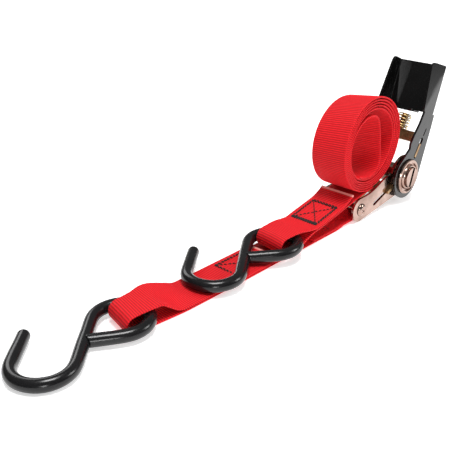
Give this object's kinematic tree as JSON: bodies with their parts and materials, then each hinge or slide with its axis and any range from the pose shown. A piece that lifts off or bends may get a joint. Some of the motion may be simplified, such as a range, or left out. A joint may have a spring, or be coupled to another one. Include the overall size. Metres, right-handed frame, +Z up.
{
  "type": "ratchet tie down",
  "caption": "Ratchet tie down with a short sewn strap, a long rolled strap and a coated S hook on each, for holding a load to a truck or trailer.",
  "frame": {"origin": "under the middle of the whole object's outline, on the floor", "axes": "+X along the straps from the front hook to the ratchet, +Y across the webbing, +Z up"},
  "size_m": [0.3454, 0.052, 0.0918],
  "materials": {
    "yellow_zinc": "yellow zinc plate",
    "spring_steel": "yellow zinc plated wire",
    "bright_steel": "bare wire",
    "black_paint": "gloss black",
    "black_vinyl": "dipped vinyl, semi-gloss",
    "red_webbing": "ribbed polyester webbing",
    "black_thread": "sewing thread"
  },
  "bodies": {
    "straps_and_frame": {"frame_plate_near": "yellow_zinc", "frame_plate_far": "yellow_zinc", "anchor_rivet": "yellow_zinc", "spring_crossbar": "yellow_zinc", "lock_pawl_spring": "spring_steel", "fixed_strap": "red_webbing", "long_strap": "red_webbing", "front_hook_stitching": "black_thread", "anchor_stitching": "black_thread", "rear_hook_stitching": "black_thread"},
    "lock_pawl": {"lock_pawl": "yellow_zinc"},
    "handle": {"handle": "black_paint", "drive_pawl_spring": "spring_steel"},
    "drive_pawl": {"drive_pawl": "yellow_zinc"},
    "spindle": {"mandrel_half_front": "yellow_zinc", "mandrel_half_rear": "yellow_zinc", "gear_near": "yellow_zinc", "gear_far": "yellow_zinc", "cap_disc_near": "yellow_zinc", "cap_disc_far": "yellow_zinc"},
    "front_hook": {"front_hook_core": "bright_steel", "front_hook_coating": "black_vinyl"},
    "rear_hook": {"rear_hook_core": "bright_steel", "rear_hook_coating": "black_vinyl"}
  },
  "joints": [
    {"name": "handle_swing", "type": "hinge", "parent": "straps_and_frame", "child": "handle", "pos_m": [0.13224, -0.00331, 0.0188], "axis": [0, 1, 0], "range_deg": [-30, 65]},
    {"name": "spindle_turn", "type": "hinge", "parent": "straps_and_frame", "child": "spindle", "pos_m": [0.13224, -0.00331, 0.0188], "axis": [0, 1, 0], "range_deg": [-30, 65]},
    {"name": "drive_pawl_slide", "type": "slide", "parent": "handle", "child": "drive_pawl", "axis": [0.5592, 0, 0.829], "range_m": [0, 0.004], "stiffness_N_per_m": 150, "springref_m": -0.008, "deforming": ["drive_pawl_spring"]},
    {"name": "lock_pawl_slide", "type": "slide", "parent": "straps_and_frame", "child": "lock_pawl", "axis": [-0.9455, 0, -0.3256], "range_m": [0, 0.004], "stiffness_N_per_m": 150, "springref_m": -0.008, "deforming": ["lock_pawl_spring"]},
    {"name": "front_hook_swing", "type": "hinge", "parent": "straps_and_frame", "child": "front_hook", "pos_m": [-0.09076, -0.00241, 0.00521], "axis": [0, 1, 0], "range_deg": [0, 12]},
    {"name": "rear_hook_swing", "type": "hinge", "parent": "straps_and_frame", "child": "rear_hook", "pos_m": [0.02242, -0.00331, 0.00791], "axis": [0, 1, 0], "range_deg": [0, 20]}
  ],
  "couplings": [
    {"joint": "spindle_turn", "follows": "handle_swing", "ratio": 1}
  ]
}
